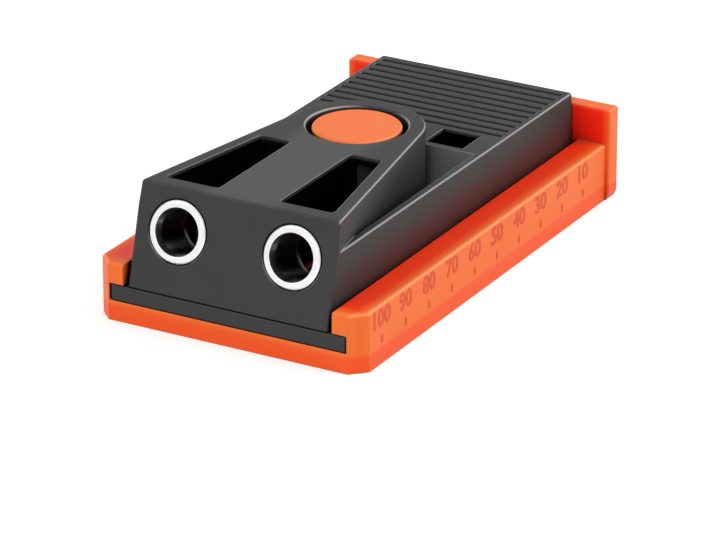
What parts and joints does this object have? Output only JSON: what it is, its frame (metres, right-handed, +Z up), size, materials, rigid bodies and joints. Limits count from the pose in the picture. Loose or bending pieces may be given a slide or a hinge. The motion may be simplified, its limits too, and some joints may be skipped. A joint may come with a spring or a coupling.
{
  "type": "pocket hole jig",
  "caption": "Sliding two-hole pocket drill guide on a slotted tray with rails and a rear fence, locked to a rack by a sprung push button.",
  "frame": {"origin": "centre of the tray's footprint, on the face that rests on the board", "axes": "+Z up, +Y from the drill holes towards the rear fence, X across the jig"},
  "size_m": [0.066, 0.1134, 0.0305],
  "materials": {
    "orange_plastic": "moulded, satin",
    "black_plastic": "moulded, fine texture",
    "bush_steel": "turned and ground",
    "spring_steel": "drawn wire",
    "zinc_plate": "bright zinc plate"
  },
  "bodies": {
    "tray": {"tray": "orange_plastic"},
    "slide": {"body_housing": "black_plastic", "sole_plate": "black_plastic", "guide_bush_left": "bush_steel", "guide_bush_right": "bush_steel", "button_spring": "spring_steel", "sole_screw_1": "zinc_plate", "sole_screw_2": "zinc_plate", "sole_screw_3": "zinc_plate", "sole_screw_4": "zinc_plate"},
    "lock": {"release_button": "orange_plastic", "lock_pawl": "black_plastic", "pawl_screw": "zinc_plate"}
  },
  "joints": [
    {"name": "body_slide", "type": "slide", "parent": "tray", "child": "slide", "axis": [0, -1, 0], "range_m": [0, 0.036]},
    {"name": "button_press", "type": "slide", "parent": "slide", "child": "lock", "axis": [0, 0, -1], "range_m": [0, 0.0035], "stiffness_N_per_m": 1000, "springref_m": -0.004, "deforming": ["button_spring"]}
  ]
}
